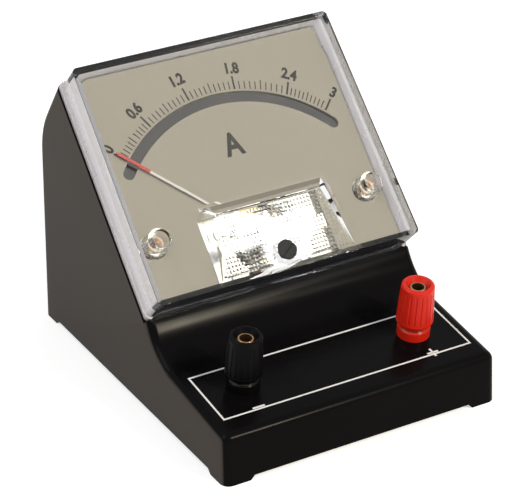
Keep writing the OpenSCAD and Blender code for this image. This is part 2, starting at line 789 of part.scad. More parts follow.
module upper_bridge() {
    color(brass) on_pivot(0) {
        for (x = [-1, 1])
            translate([x * pillar_x, 0, bracket_t]) cylinder(r = pillar_r, h = bridge_n - bracket_t);
        difference() {
            translate([-pillar_x - bridge_end, -bridge_w / 2, bridge_n])
                cube([2 * (pillar_x + bridge_end), bridge_w, bridge_t]);
            translate([0, 0, bridge_n - 1]) cylinder(r = jewel_r, h = bridge_t + 2);
        }
    }
}

module lower_bridge() {
    color(brass) on_pivot(0) {
        for (x = [-1, 1])
            translate([x * lower_pillar_x, 0, lower_bridge_n])
                cylinder(r = pillar_r, h = shoe_low - lower_bridge_n);
        difference() {
            union() {
                translate([-lower_pillar_x - lower_bridge_end, -bridge_w / 2, lower_bridge_n - bridge_t])
                    cube([2 * (lower_pillar_x + lower_bridge_end), bridge_w, bridge_t]);
                translate([0, 0, lower_bridge_n]) mirror([0, 0, 1])
                    spring_anchor(bridge_t, lower_spring_n + spring_h - lower_bridge_n);
            }
            translate([0, 0, lower_bridge_n - bridge_t - 1]) cylinder(r = jewel_r, h = bridge_t + 2);
        }
    }
}

// Slotted screw whose end is drilled for the staff's pivot
module jewel(depth, length) {
    difference() {
        cylinder(r = jewel_r, h = length);
        translate([0, 0, -1]) cylinder(r = staff_r + jewel_gap, h = 1 + depth);
        translate([-2, -0.25, length - 0.5]) cube([4, 0.5, 1]);
    }
}

module upper_jewel() {
    color(brass) on_pivot(bridge_n - 0.1) jewel(jewel_reach + 0.1, 2.2);
}

module lower_jewel() {
    color(brass) on_pivot(lower_bridge_n + 0.1) rotate([180, 0, 0]) jewel(jewel_reach + 0.1, 3);
}

module pointer_stops() {
    color(steel) for (s = [-1, 1]) on_pivot(bracket_t, s * stop_angle) translate([0, stop_at, 0])
        cylinder(r = stop_r, h = pointer_n + pointer_t + 0.3 - bracket_t);
}

// Rectangular hoop round the core, seen along the pivot's cross axis
module hoop(half, low, high, t, w) {
    rotate([90, 0, 0]) linear_extrude(w, center = true) difference() {
        translate([-half, low]) square([2 * half, high - low]);
        translate([t - half, low + t]) square([2 * (half - t), high - low - 2 * t]);
    }
}

module coil_former() {
    color(aluminium) on_pivot(0, rest_turn)
        hoop(former_out, former_low, former_top, former_t, former_w);
}

module coil_winding() {
    color(copper) on_pivot(0, rest_turn) hoop(coil_out, coil_low, coil_top, winding_t, former_w - 0.6);
}

module upper_staff() {
    color(steel) on_pivot(coil_top, rest_turn) {
        cylinder(r = collet_r, h = 0.5);
        cylinder(r = staff_r, h = staff_top - coil_top);
    }
}

module lower_staff() {
    color(steel) on_pivot(coil_low, rest_turn) mirror([0, 0, 1]) {
        cylinder(r = collet_r, h = 0.5);
        cylinder(r = staff_r, h = coil_low - staff_low);
        translate([0, 0, coil_low - lower_spring_n - spring_h]) cylinder(r = collet_r, h = spring_h);
    }
}

// Arm with a pointed blade at its end, a hub, a tail and two side arms
module pointer() {
    blade_from = pointer_len - blade_len;
    color(aluminium) on_pivot(pointer_n, rest_turn) {
        linear_extrude(pointer_t) difference() {
            union() {
                circle(r = hub_r);
                polygon([
                    [-pointer_root_w / 2, 1], [pointer_root_w / 2, 1], [pointer_root_w / 2, blade_from],
                    [blade_w / 2, blade_from], [blade_w / 2, pointer_len - blade_w], [0, pointer_len],
                    [-blade_w / 2, pointer_len - blade_w], [-blade_w / 2, blade_from],
                    [-pointer_root_w / 2, blade_from]]);
                translate([-counter_w / 2, -tail_len]) square([counter_w, tail_len]);
                translate([-arm_len, -counter_w / 2]) square([2 * arm_len, counter_w]);
            }
            circle(r = staff_r);
        }
        translate([0, 0, -0.6]) ring(collet_r, staff_r, 0.6);
        translate([0, 0, pointer_t])
            ring(collet_r, staff_r, upper_spring_n + spring_h - pointer_n - pointer_t);
    }
}

module balance_weights() {
    color(brass) on_pivot(pointer_n - 0.3, rest_turn)
        for (p = [[0, 1.2 - tail_len], [1 - arm_len, 0], [arm_len - 1, 0]])
        translate([p[0], p[1], 0]) difference() {
            cylinder(r = weight_r, h = pointer_t + 0.6);
            if (p[0] == 0) translate([-counter_w / 2, -2, 0.3]) cube([counter_w, 4, pointer_t]);
            else translate([-2, -counter_w / 2, 0.3]) cube([4, counter_w, pointer_t]);
        }
}

// Flat spiral from its collet to its outer anchor, as a strip
function spiral(t, d) =
    let (r_in = collet_r + spring_gap, r = r_in + (spring_r - r_in) * t + d, a = 360 * spring_turns * t)
    [-r * sin(a), r * cos(a)];
module spiral_strip() {
    steps = 16 * spring_turns;
    linear_extrude(spring_h) polygon(concat(
        [for (i = [0:steps]) spiral(i / steps, 0)],
        [for (i = [steps:-1:0]) spiral(i / steps, spring_strip)]));
}

// Post that holds a hairspring's outer end, on an arm of its lever or bridge
module spring_anchor(arm_t, drop) {
    reach = spring_r + spring_strip + spring_gap;
    translate([-anchor_w / 2, 0, 0]) cube([anchor_w, reach + anchor_w / 2, arm_t]);
    translate([-anchor_w / 2, reach, -drop]) cube([anchor_w, anchor_w / 2, drop]);
}

module upper_hairspring() {
    color(brass) on_pivot(upper_spring_n) spiral_strip();
}

module lower_hairspring() {
    color(brass) on_pivot(lower_spring_n) spiral_strip();
}

// Slotted head in the cover, a flange behind it and an eccentric pin in the lever's fork
module zero_adjuster() {
    color(black) on_face(0, zero_v, 0) difference() {
        union() {
            translate([0, 0, zero_flange_n - zero_flange_t]) cylinder(r = zero_flange_r, h = zero_flange_t);
            translate([0, 0, zero_flange_n - zero_flange_t])
                cylinder(d = zero_head_d, h = zero_top - zero_flange_n + zero_flange_t);
            translate([0, -zero_throw, lever_n - 0.1])
                cylinder(r = zero_pin_r, h = zero_flange_n - zero_flange_t - lever_n + 0.1);
        }
        rotate([0, 0, 35]) translate([-zero_head_d, -0.5, zero_top - 0.9]) cube([2 * zero_head_d, 1, 2]);
    }
}

module zero_lever() {
    reach = pivot_v - zero_v + zero_throw;
    slot = zero_pin_r + fork_gap;
    color(brass) on_pivot(lever_n) difference() {
        union() {
            cylinder(r = 3, h = lever_t);
            translate([-1.4, -reach - 1.2, 0]) cube([2.8, reach + 1.2, lever_t]);
            spring_anchor(lever_t, lever_n - upper_spring_n);
        }
        translate([0, 0, -1]) cylinder(r = jewel_r + 0.05, h = lever_t + 2);
        translate([-slot, -reach - 2, -1]) cube([2 * slot, 3.2, lever_t + 2]);
    }
}

// Binding post pieces, all built on the post's axis
module collar(tint) {
    color(tint) difference() {
        union() {
            cylinder(d = collar_d, h = collar_h);
            translate([0, 0, -wall]) cylinder(d = bush_d, h = wall);
        }
        translate([0, 0, -wall - 1]) cylinder(r = stud_r, h = wall + collar_h + 2);
    }
}

module stud() {
    chamfer = 0.5;
    color(brass) difference() {
        union() {
            translate([0, 0, -stud_drop]) cylinder(r = stud_r, h = stud_drop + stud_top - chamfer);
            translate([0, 0, stud_top - chamfer]) cylinder(r1 = stud_r, r2 = stud_r - chamfer, h = chamfer);
        }
        translate([0, 0, stud_top - socket_depth]) cylinder(d = socket_d, h = socket_depth + 1);
        translate([-stud_d, 0, washer_z + wire_hole_d / 2 + 0.2]) rotate([0, 90, 0])
            cylinder(d = wire_hole_d, h = 2 * stud_d);
    }
}

module clamp_washer() {
    color(steel) translate([0, 0, washer_z]) ring(washer_d / 2, sleeve_r, washer_t);
}

// Fluted knob: flared skirt, tapering grip and a dished top
module knob(tint) {
    skirt_h = 2;
    round_r = 0.9;
    flute_low = knob_z + skirt_h + 0.8;
    flute_len = knob_h - skirt_h - 2.6;
    lean = atan((knob_d - knob_top_d) / 2 / (knob_h - skirt_h));
    color(tint) difference() {
        rotate_extrude() polygon(concat(
            [[sleeve_r, knob_z], [washer_d / 2, knob_z], [washer_d / 2, knob_z + 0.5],
                [knob_d / 2 - 0.1, knob_z + skirt_h - 0.4], [knob_d / 2, knob_z + skirt_h]],
            [for (i = [0:4]) [knob_top_d / 2 - round_r, knob_top - round_r] + round_r * heading(i * 22.5)],
            [[dish_d / 2, knob_top], [sleeve_r, knob_top - dish_depth]]));
        for (i = [0:flutes - 1]) rotate([0, 0, 360 * i / flutes])
            translate([knob_d / 2 + flute_r * 0.45, 0, flute_low]) rotate([0, -lean, 0])
                cylinder(r = flute_r, h = flute_len);
    }
}

module lock_nut() {
    color(brass) translate([0, 0, tag_z - nut_h]) difference() {
        cylinder(r = nut_af / 2 / cos(30), h = nut_h, $fn = 6);
        translate([0, 0, -1]) cylinder(r = stud_r, h = nut_h + 2);
    }
}

module black_collar() { on_ledge(-post_x) collar(black); }
module black_stud() { on_ledge(-post_x) stud(); }
module black_washer() { on_ledge(-post_x) clamp_washer(); }
module black_knob() { on_ledge(-post_x) knob(black); }
module black_nut() { on_ledge(-post_x) lock_nut(); }
module red_collar() { on_ledge(post_x) collar(red); }
module red_stud() { on_ledge(post_x) stud(); }
module red_washer() { on_ledge(post_x) clamp_washer(); }
module red_knob() { on_ledge(post_x) knob(red); }
module red_nut() { on_ledge(post_x) lock_nut(); }

module insulators() {
    color(white) for (x = [-1, 1]) on_ledge(x * post_x) translate([0, 0, -wall - insulator_t])
        ring(collar_d / 2, stud_r, insulator_t);
}

// Tag under each nut, with a tongue towards the back for the lead
module solder_tags() {
    color(brass) for (x = [-1, 1]) on_ledge(x * post_x) translate([0, 0, tag_z]) difference() {
        union() {
            cylinder(r = nut_af / 2, h = tag_t);
            translate([-1.5, 0, 0]) cube([3, tag_len, tag_t]);
        }
        translate([0, 0, -1]) cylinder(r = stud_r, h = tag_t + 2);
    }
}

// Resistance strip from post to post, with an eye round each stud
module shunt() {
    color(copper) difference() {
        union() {
            for (x = [-1, 1]) on_ledge(x * post_x) translate([0, 0, shunt_z])
                cylinder(r = nut_af / 2, h = shunt_t);
            on_ledge(0) translate([-post_x, -shunt_w / 2, shunt_z]) cube([2 * post_x, shunt_w, shunt_t]);
        }
        for (x = [-1, 1]) on_ledge(x * post_x) translate([0, 0, shunt_z - 1])
            cylinder(r = stud_r, h = shunt_t + 2);
    }
}

// Tube swept along a smooth curve between two ends, each with the point that its curve aims at
function blend_at(c, t) =
    pow(1 - t, 3) * c[0] + 3 * t * pow(1 - t, 2) * c[1] + 3 * t * t * (1 - t) * c[2] + pow(t, 3) * c[3];
function slope_at(c, t) =
    pow(1 - t, 2) * (c[1] - c[0]) + 2 * t * (1 - t) * (c[2] - c[1]) + t * t * (c[3] - c[2]);
module swept_tube(c, r, steps = 16, sides = 8) {
    rings = [for (i = [0:steps])
        let (t = i / steps,
            d = slope_at(c, t) / norm(slope_at(c, t)),
            u = cross(d, [1, 0, 0]) / norm(cross(d, [1, 0, 0])))
        for (k = [0:sides - 1])
            blend_at(c, t) + r * (cos(360 * k / sides) * u + sin(360 * k / sides) * cross(d, u))];
    walls = [for (i = [0:steps - 1], k = [0:sides - 1])
        let (a = i * sides + k, b = i * sides + (k + 1) % sides) [a, a + sides, b + sides, b]];
    ends = [[for (k = [0:sides - 1]) k], [for (k = [sides - 1:-1:0]) steps * sides + k]];
    polyhedron(rings, concat(walls, ends));
}

// Lead from a solder tag to the movement's bracket, s = -1 for minus and 1 for plus
function ledge_point(x, along, up) =
    [x, post_y + along * cos(ledge_slope) - up * sin(ledge_slope),
        ledge_z(post_y) + along * sin(ledge_slope) + up * cos(ledge_slope)];
function face_point(x, v, n) =
    [x, face_y + v * cos(face_tilt) - n * sin(face_tilt), face_z + v * sin(face_tilt) + n * cos(face_tilt)];
module lead(s) {
    end_x = post_x - lead_in;
    end_v = pivot_v + lead_v;
    start_up = tag_z - lead_r - 0.05;
    swept_tube([
        ledge_point(s * post_x, tag_len - lead_lap, start_up),
        ledge_point(s * post_x, tag_len + lead_rise, start_up),
        face_point(s * end_x, end_v, -lead_drop), face_point(s * end_x, end_v, -0.05)], lead_r);
}

module minus_lead() { color(black) lead(-1); }
module plus_lead() { color(red) lead(1); }

module ledge_frame() {
    frame_d = (frame_high - frame_low) / cos(ledge_slope);
    color(white) on_ledge(0, (frame_low + frame_high) / 2) linear_extrude(print_t) difference() {
        square([frame_w, frame_d], center = true);
        square([frame_w - 2 * frame_line, frame_d - 2 * frame_line], center = true);
    }
}

housing();
bottom_plate();
bottom_screws();
cover();
cover_screws();
dial_plate();
scale_marks();
scale_mirror();
dial_spacers();
movement_bracket();
bracket_screws();
pole_shoes();
field_magnet();
iron_core();
core_supports();
upper_bridge();
lower_bridge();
upper_jewel();
lower_jewel();
pointer_stops();
coil_former();
coil_winding();
upper_staff();
lower_staff();
pointer();
balance_weights();
upper_hairspring();
lower_hairspring();
zero_adjuster();
zero_lever();
black_collar();
black_stud();
black_washer();
black_knob();
black_nut();
red_collar();
red_stud();
red_washer();
red_knob();
red_nut();
insulators();
solder_tags();
shunt();
minus_lead();
plus_lead();
ledge_frame();
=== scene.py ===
"""Dresses a bench ammeter: tilted dial, clear cover, two binding posts, pointer movement.

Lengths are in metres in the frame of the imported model: X to the reader's right, Y from the front
ledge to the back, Z up, with the origin in the middle of the base. Sizes that read better in
millimetres carry the factor MM, and turns are in degrees.
"""
import json
import logging
import math
from dataclasses import dataclass, field
from enum import Enum, IntEnum

import bmesh
import bpy
from mathutils import Matrix, Quaternion, Vector

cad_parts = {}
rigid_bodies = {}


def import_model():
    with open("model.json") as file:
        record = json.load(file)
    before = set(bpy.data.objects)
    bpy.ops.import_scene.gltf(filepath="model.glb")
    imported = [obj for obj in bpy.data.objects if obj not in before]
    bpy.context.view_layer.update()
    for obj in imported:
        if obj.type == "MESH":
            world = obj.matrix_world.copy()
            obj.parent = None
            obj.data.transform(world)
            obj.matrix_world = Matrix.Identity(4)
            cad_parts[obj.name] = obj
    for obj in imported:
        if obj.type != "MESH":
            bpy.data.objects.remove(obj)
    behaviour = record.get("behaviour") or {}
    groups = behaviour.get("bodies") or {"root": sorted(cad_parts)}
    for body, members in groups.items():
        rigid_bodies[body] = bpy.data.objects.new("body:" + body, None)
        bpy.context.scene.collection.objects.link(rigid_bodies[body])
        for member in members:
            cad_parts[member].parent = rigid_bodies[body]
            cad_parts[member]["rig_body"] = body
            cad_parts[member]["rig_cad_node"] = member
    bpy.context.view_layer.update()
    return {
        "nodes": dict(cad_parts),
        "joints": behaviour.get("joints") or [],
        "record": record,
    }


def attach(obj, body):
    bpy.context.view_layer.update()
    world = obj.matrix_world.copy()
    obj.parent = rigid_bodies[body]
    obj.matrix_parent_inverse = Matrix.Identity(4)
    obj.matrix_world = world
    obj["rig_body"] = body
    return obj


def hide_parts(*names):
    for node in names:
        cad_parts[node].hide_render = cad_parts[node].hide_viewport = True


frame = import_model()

MM = 0.001
PIVOT_HEIGHT = 7.0 * MM    # the pointer's joint over the case's tilted face
SOCKET_HEIGHT = 11.8 * MM  # the middle of a socket over the ledge
MERGED_WITHIN = 0.001 * MM
LOWEST, HIGHEST = 0, 6     # corners of a bounding box

Colour = tuple[float, float, float]
Place = tuple[float, float, float]

logging.basicConfig(level=logging.INFO, format="%(message)s")
LOG = logging.getLogger("ammeter")


class Body(str, Enum):
    """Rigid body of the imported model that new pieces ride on."""

    CASE = "case"


class Slot(str, Enum):
    """Names of material slots of the record."""

    BLACK_INK = "black_ink"
    WHITE_INK = "white_ink"
    CLEAR = "clear_moulding"
    BLACK = "black_moulding"


class Side(str, Enum):
    """The two binding posts, by their colour."""

    BLACK = "black"
    RED = "red"


def joint(name: str) -> dict:
    """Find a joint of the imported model.

    Args:
        name: The joint's name.

    Returns:
        The joint as the record holds it.
    """
    return next(j for j in frame["joints"] if j["name"] == name)


def mount(name: str) -> dict:
    """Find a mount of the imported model.

    Args:
        name: The mount's name.

    Returns:
        The mount as the record holds it.
    """
    return next(m for m in frame["record"]["mounts"] if m["name"] == name)


# Making pieces -------------------------------------------------------------------------------


def deselect() -> None:
    """Leave nothing selected, so that the next operator acts on its own piece only."""
    if bpy.context.object and bpy.context.object.mode != "OBJECT":
        bpy.ops.object.mode_set(mode="OBJECT")
    bpy.ops.object.select_all(action="DESELECT")


def make_active(piece: bpy.types.Object) -> None:
    """Select one piece alone and make it active.

    Args:
        piece: The piece that the next operator acts on.
    """
    deselect()
    piece.select_set(True)
    bpy.context.view_layer.objects.active = piece


def settle(piece: bpy.types.Object, place: Matrix) -> None:
    """Move a piece to its place and write that place into its mesh.

    Args:
        piece: The piece, made round its own origin.
        place: Where it goes in the model's frame.
    """
    make_active(piece)
    piece.matrix_world = place @ piece.matrix_world
    bpy.ops.object.transform_apply(location=True, rotation=True, scale=True)


def join(parts: list[bpy.types.Object], name: str) -> bpy.types.Object:
    """Join several meshes into one piece.

    Args:
        parts: The meshes, at least one.
        name: The joined piece's name.

    Returns:
        The joined piece.
    """
    deselect()
    for part in parts:
        part.select_set(True)
    bpy.context.view_layer.objects.active = parts[0]
    if len(parts) > 1:
        bpy.ops.object.join()
    parts[0].name = name
    parts[0].data.name = name
    return parts[0]


def apply_modifiers(piece: bpy.types.Object) -> None:
    """Apply all modifiers of a piece in their order.

    Args:
        piece: The piece to finish.
    """
    make_active(piece)
    for modifier in list(piece.modifiers):
        bpy.ops.object.modifier_apply(modifier=modifier.name)


def outward(piece: bpy.types.Object) -> None:
    """Merge doubles and turn all faces of a piece outwards.

    Args:
        piece: A closed mesh.
    """
    make_active(piece)
    bpy.ops.object.mode_set(mode="EDIT")
    bpy.ops.mesh.select_all(action="SELECT")
    bpy.ops.mesh.remove_doubles(threshold=MERGED_WITHIN)
    bpy.ops.mesh.normals_make_consistent(inside=False)
    bpy.ops.object.mode_set(mode="OBJECT")


def loose_copy(node: str, name: str) -> bpy.types.Object:
    """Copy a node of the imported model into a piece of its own, with a merged mesh.

    Args:
        node: The node's name.
        name: The new piece's name.

    Returns:
        The copy, closed and turned outwards.
    """
    piece = frame["nodes"][node].copy()
    piece.data = piece.data.copy()
    piece.parent = None
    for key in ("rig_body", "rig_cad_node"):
        if key in piece:
            del piece[key]
    bpy.context.scene.collection.objects.link(piece)
    piece.name = piece.data.name = name
    outward(piece)
    return piece


def shade_by_angle(piece: bpy.types.Object, degrees: float) -> None:
    """Shade a piece smooth, except over edges sharper than an angle.

    Args:
        piece: The piece.
        degrees: The angle between two faces past which their edge stays sharp.
    """
    make_active(piece)
    if piece.data.has_custom_normals:
        bpy.ops.mesh.customdata_custom_splitnormals_clear()
    bpy.ops.object.shade_smooth_by_angle(angle=math.radians(degrees))


@dataclass(frozen=True)
class Plane:
    """A flat part of the meter with its own axes: X to the right, Y up the slope, Z outwards."""

    origin: Vector
    out: Vector

    def place(self, x: float = 0.0, y: float = 0.0, z: float = 0.0, turn: float = 0.0) -> Matrix:
        """Give the placing of something on the plane.

        Args:
            x: Distance to the right.
            y: Distance up the slope.
            z: Height above the plane.
            turn: Turn about the plane's normal, anticlockwise from outside.

        Returns:
            The matrix from the piece's own frame to the model's.
        """
        right = Vector((1.0, 0.0, 0.0))
        up = self.out.cross(right)
        axes = Matrix((right, up, self.out)).transposed().to_4x4()
        return (Matrix.Translation(self.origin) @ axes @ Matrix.Translation((x, y, z))
                @ Matrix.Rotation(math.radians(turn), 4, "Z"))


def dial_face() -> Plane:
    """Give the case's tilted face, with its origin under the pointer's pivot.

    Returns:
        The plane on which the cover seats.
    """
    pivot = joint("pointer_swing")
    out = -Vector(pivot["axis"])
    return Plane(Vector(pivot["pos_m"]) - PIVOT_HEIGHT * out, out)


def ledge_face(side: Side) -> Plane:
    """Give the ledge's surface at one binding post.

    Args:
        side: Which of the two posts.

    Returns:
        The plane of the ledge, with its origin in the middle of the post.
    """
    socket = mount(side.value + "_socket")
    out = Vector(socket["axis"])
    return Plane(Vector(socket["pos_m"]) - SOCKET_HEIGHT * out, out)


# Finishes ------------------------------------------------------------------------------------

GREY = (0.5, 0.5, 0.5, 1.0)
WHITE = (1.0, 1.0, 1.0, 1.0)
GRAIN_HEIGHT = 0.02 * MM
# Painted light on the flanks fades in between these two values.
FLANK_FROM, FLANK_FULL = 0.80, 0.97  # cosine of a face's turn from the axis


class Socket(str, Enum):
    """Kinds of sockets on a shader node group."""

    COLOUR = "NodeSocketColor"
    VECTOR = "NodeSocketVector"
    FLOAT = "NodeSocketFloat"


def feed(tree: bpy.types.NodeTree, node: bpy.types.Node, inputs: dict[str | int, object]) -> None:
    """Set or link the inputs of a node.

    Args:
        tree: The tree that holds the node.
        node: The node.
        inputs: What goes into each input, a plain value or another node's socket.
    """
    for key, value in inputs.items():
        if isinstance(value, bpy.types.NodeSocket):
            tree.links.new(value, node.inputs[key])
        else:
            node.inputs[key].default_value = value


def calculate(tree: bpy.types.NodeTree, operation: str, *values: object) -> bpy.types.NodeSocket:
    """Add a Math node.

    Args:
        tree: The tree that gets the node.
        operation: What the node works out.
        values: Its inputs in order, plain numbers or sockets.

    Returns:
        The socket with the result.
    """
    node = tree.nodes.new("ShaderNodeMath")
    node.operation = operation
    feed(tree, node, dict(enumerate(values)))
    return node.outputs[0]


def new_group(
    name: str, inputs: dict[str, tuple[Socket, object]], outputs: dict[str, Socket],
) -> tuple[bpy.types.NodeTree, bpy.types.Node, bpy.types.Node]:
    """Start a shader node group.

    Args:
        name: The group's name.
        inputs: Kind and default value of each input.
        outputs: Kind of each output.

    Returns:
        The group, its input node and its output node.
    """
    tree = bpy.data.node_groups.new(name, "ShaderNodeTree")
    for label, (kind, value) in inputs.items():
        made = tree.interface.new_socket(name=label, in_out="INPUT", socket_type=kind.value)
        made.default_value = value
    for label, kind in outputs.items():
        tree.interface.new_socket(name=label, in_out="OUTPUT", socket_type=kind.value)
    return tree, tree.nodes.new("NodeGroupInput"), tree.nodes.new("NodeGroupOutput")


def surface_group() -> bpy.types.NodeTree:
    """Make the group that gives a moulded or painted surface its slight unevenness.

    Returns:
        The group, with the outputs Color, Roughness and Normal.
    """
    name = "uneven_surface"
    if name in bpy.data.node_groups:
        return bpy.data.node_groups[name]
    tree, start, end = new_group(name, {
        "Color": (Socket.COLOUR, GREY),
        "Tone Spread": (Socket.FLOAT, 0.1),
        "Tone Scale": (Socket.FLOAT, 60.0),
        "Roughness": (Socket.FLOAT, 0.4),
        "Roughness Spread": (Socket.FLOAT, 0.1),
        "Grain Scale": (Socket.FLOAT, 2500.0),
        "Grain Depth": (Socket.FLOAT, 0.1),
    }, {"Color": Socket.COLOUR, "Roughness": Socket.FLOAT, "Normal": Socket.VECTOR})
    where = tree.nodes.new("ShaderNodeTexCoord")
    patterns = []
    for scale, detail in (("Tone Scale", 4.0), ("Grain Scale", 2.0)):
        noise = tree.nodes.new("ShaderNodeTexNoise")
        feed(tree, noise, {"Vector": where.outputs["Object"], "Scale": start.outputs[scale],
                           "Detail": detail})
        patterns.append(noise.outputs["Fac"])
    cloud, grain = patterns

    def spread(amount: str) -> bpy.types.NodeSocket:
        """Give the cloud pattern about zero, times one of the group's inputs."""
        about_zero = calculate(tree, "SUBTRACT", cloud, 0.5)
        return calculate(tree, "MULTIPLY", about_zero, start.outputs[amount])

    shade = tree.nodes.new("ShaderNodeVectorMath")
    shade.operation = "SCALE"
    tone = calculate(tree, "MULTIPLY_ADD", spread("Tone Spread"), 2.0, 1.0)
    feed(tree, shade, {0: start.outputs["Color"], "Scale": tone})
    rough = calculate(tree, "ADD", spread("Roughness Spread"), start.outputs["Roughness"])
    rough.node.use_clamp = True
    bump = tree.nodes.new("ShaderNodeBump")
    feed(tree, bump, {"Distance": GRAIN_HEIGHT, "Height": grain,
                      "Strength": start.outputs["Grain Depth"]})
    feed(tree, end, {"Color": shade.outputs[0], "Roughness": rough,
                     "Normal": bump.outputs["Normal"]})
    return tree


def painted_flank_group() -> bpy.types.NodeTree:
    """Make the group that gives the faces towards one axis painted light and their own roughness.

    Returns:
        The group, with the outputs Color and Roughness.
    """
    name = "flank_finish"
    if name in bpy.data.node_groups:
        return bpy.data.node_groups[name]
    tree, start, end = new_group(name, {
        "Axis": (Socket.VECTOR, (1.0, 0.0, 0.0)),
        "Color": (Socket.COLOUR, GREY),
        "Roughness": (Socket.FLOAT, 0.4),
        "Flank Color": (Socket.COLOUR, GREY),
        "Flank Roughness": (Socket.FLOAT, 0.4),
    }, {"Color": Socket.COLOUR, "Roughness": Socket.FLOAT})
    where = tree.nodes.new("ShaderNodeTexCoord")
    along = tree.nodes.new("ShaderNodeVectorMath")
    along.operation = "DOT_PRODUCT"
    feed(tree, along, {0: where.outputs["Normal"], 1: start.outputs["Axis"]})
    either_way = calculate(tree, "ABSOLUTE", along.outputs["Value"])
    share = tree.nodes.new("ShaderNodeMapRange")
    share.interpolation_type = "SMOOTHSTEP"
    feed(tree, share, {"From Min": FLANK_FROM, "From Max": FLANK_FULL, "Value": either_way})
    for kind, label in (("RGBA", "Color"), ("FLOAT", "Roughness")):
        mix = tree.nodes.new("ShaderNodeMix")
        mix.data_type = kind
        feed(tree, mix, {"Factor": share.outputs["Result"], "A": start.outputs[label],
                         "B": start.outputs["Flank " + label]})
        feed(tree, end, {label: mix.outputs["Result"]})
    return tree


@dataclass(frozen=True)
class Finish:
    """A solid finish: moulded plastic, paint, ink or metal.

    The tone spread is the share by which the colour varies in soft clouds, and the roughness
    spread does the same for the gloss. Scales count features to the metre. A flank painted light,
    where there is one, is a lighter colour painted on the faces towards the flank axis, as if
    light fell on them.
    """

    name: str
    colour: Colour
    roughness: float = 0.4
    metallic: float = 0.0
    specular: float = 0.5
    specular_tint: float = 1.0
    tone_spread: float = 0.08
    tone_scale: float = 60.0
    rough_spread: float = 0.1
    grain_scale: float = 2500.0
    grain_depth: float = 0.1
    # Painted light: a lighter colour for the faces towards the flank axis.
    flank_painted_light: Colour | None = None
    flank_roughness: float = 0.5
    flank_axis: tuple[float, float, float] = (1.0, 0.0, 0.0)

    def start(self) -> tuple[bpy.types.Material, bpy.types.Node, bpy.types.Node]:
        """Make the material with its shader and its surface group.

        Returns:
            The material, the shader node and the group node.
        """
        made = bpy.data.materials.new(self.name)
        made.use_nodes = True
        tree = made.node_tree
        shader = tree.nodes["Principled BSDF"]
        surface = tree.nodes.new("ShaderNodeGroup")
        surface.node_tree = surface_group()
        feed(tree, surface, {
            "Color": (*self.colour, 1.0),
            "Tone Spread": self.tone_spread,
            "Tone Scale": self.tone_scale,
            "Roughness": self.roughness,
            "Roughness Spread": self.rough_spread,
            "Grain Scale": self.grain_scale,
            "Grain Depth": self.grain_depth,
        })
        feed(tree, shader, {
            "Metallic": self.metallic,
            "Specular IOR Level": self.specular,
            "Specular Tint": (self.specular_tint,) * 3 + (1.0,),
            "Base Color": surface.outputs["Color"],
            "Roughness": surface.outputs["Roughness"],
            "Normal": surface.outputs["Normal"],
        })
        # Painted light: the faces towards the flank axis take the lighter flank colour.
        if self.flank_painted_light is not None:
            flank = tree.nodes.new("ShaderNodeGroup")
            flank.node_tree = painted_flank_group()
            feed(tree, flank, {
                "Axis": self.flank_axis,
                "Color": surface.outputs["Color"],
                "Roughness": surface.outputs["Roughness"],
                "Flank Color": (*self.flank_painted_light, 1.0),
                "Flank Roughness": self.flank_roughness,
            })
            feed(tree, shader, {"Base Color": flank.outputs["Color"],
                                "Roughness": flank.outputs["Roughness"]})
        return made, shader, surface

    def build(self) -> bpy.types.Material:
        """Make the material."""
        return self.start()[0]


@dataclass(frozen=True)
class ClearMoulding(Finish):
    """Clear polished plastic that lets light through to what lies behind it."""

    ior: float = 1.49
    clearness: float = 1.0
    passing: Colour = (0.93, 0.94, 0.94)

    def build(self) -> bpy.types.Material:
        """Make the material.

        Returns:
            The material, clear to lamps so that the dial behind it is lit.
        """
        made, shader, _ = self.start()
        tree = made.node_tree
        feed(tree, shader, {"Transmission Weight": self.clearness, "IOR": self.ior})
        clear = tree.nodes.new("ShaderNodeBsdfTransparent")
        feed(tree, clear, {"Color": (*self.passing, 1.0)})
        path = tree.nodes.new("ShaderNodeLightPath")
        lit = calculate(tree, "MAXIMUM", path.outputs["Is Shadow Ray"],
                        path.outputs["Is Diffuse Ray"])
        mix = tree.nodes.new("ShaderNodeMixShader")
        feed(tree, mix, {"Fac": lit, 1: shader.outputs["BSDF"], 2: clear.outputs["BSDF"]})
        feed(tree, tree.nodes["Material Output"], {"Surface": mix.outputs["Shader"]})
        return made


@dataclass(frozen=True)
class PointerPaint(Finish):
    """Pale paint with a coloured end, by distance from the pivot."""

    end_colour: Colour = (0.45, 0.05, 0.04)
    pivot: Vector = field(default_factory=Vector)
    end_from: float = 44.0 * MM

    def build(self) -> bpy.types.Material:
        """Make the material.

        Returns:
            The material, pale near the pivot and coloured beyond end_from.
        """
        made, shader, surface = self.start()
        tree = made.node_tree
        where = tree.nodes.new("ShaderNodeTexCoord")
        reach = tree.nodes.new("ShaderNodeVectorMath")
        reach.operation = "DISTANCE"
        feed(tree, reach, {0: where.outputs["Object"], 1: self.pivot})
        beyond = calculate(tree, "GREATER_THAN", reach.outputs["Value"], self.end_from)
        mix = tree.nodes.new("ShaderNodeMix")
        mix.data_type = "RGBA"
        feed(tree, mix, {"Factor": beyond, "A": surface.outputs["Color"],
                         "B": (*self.end_colour, 1.0)})
        feed(tree, shader, {"Base Color": mix.outputs["Result"]})
        return made
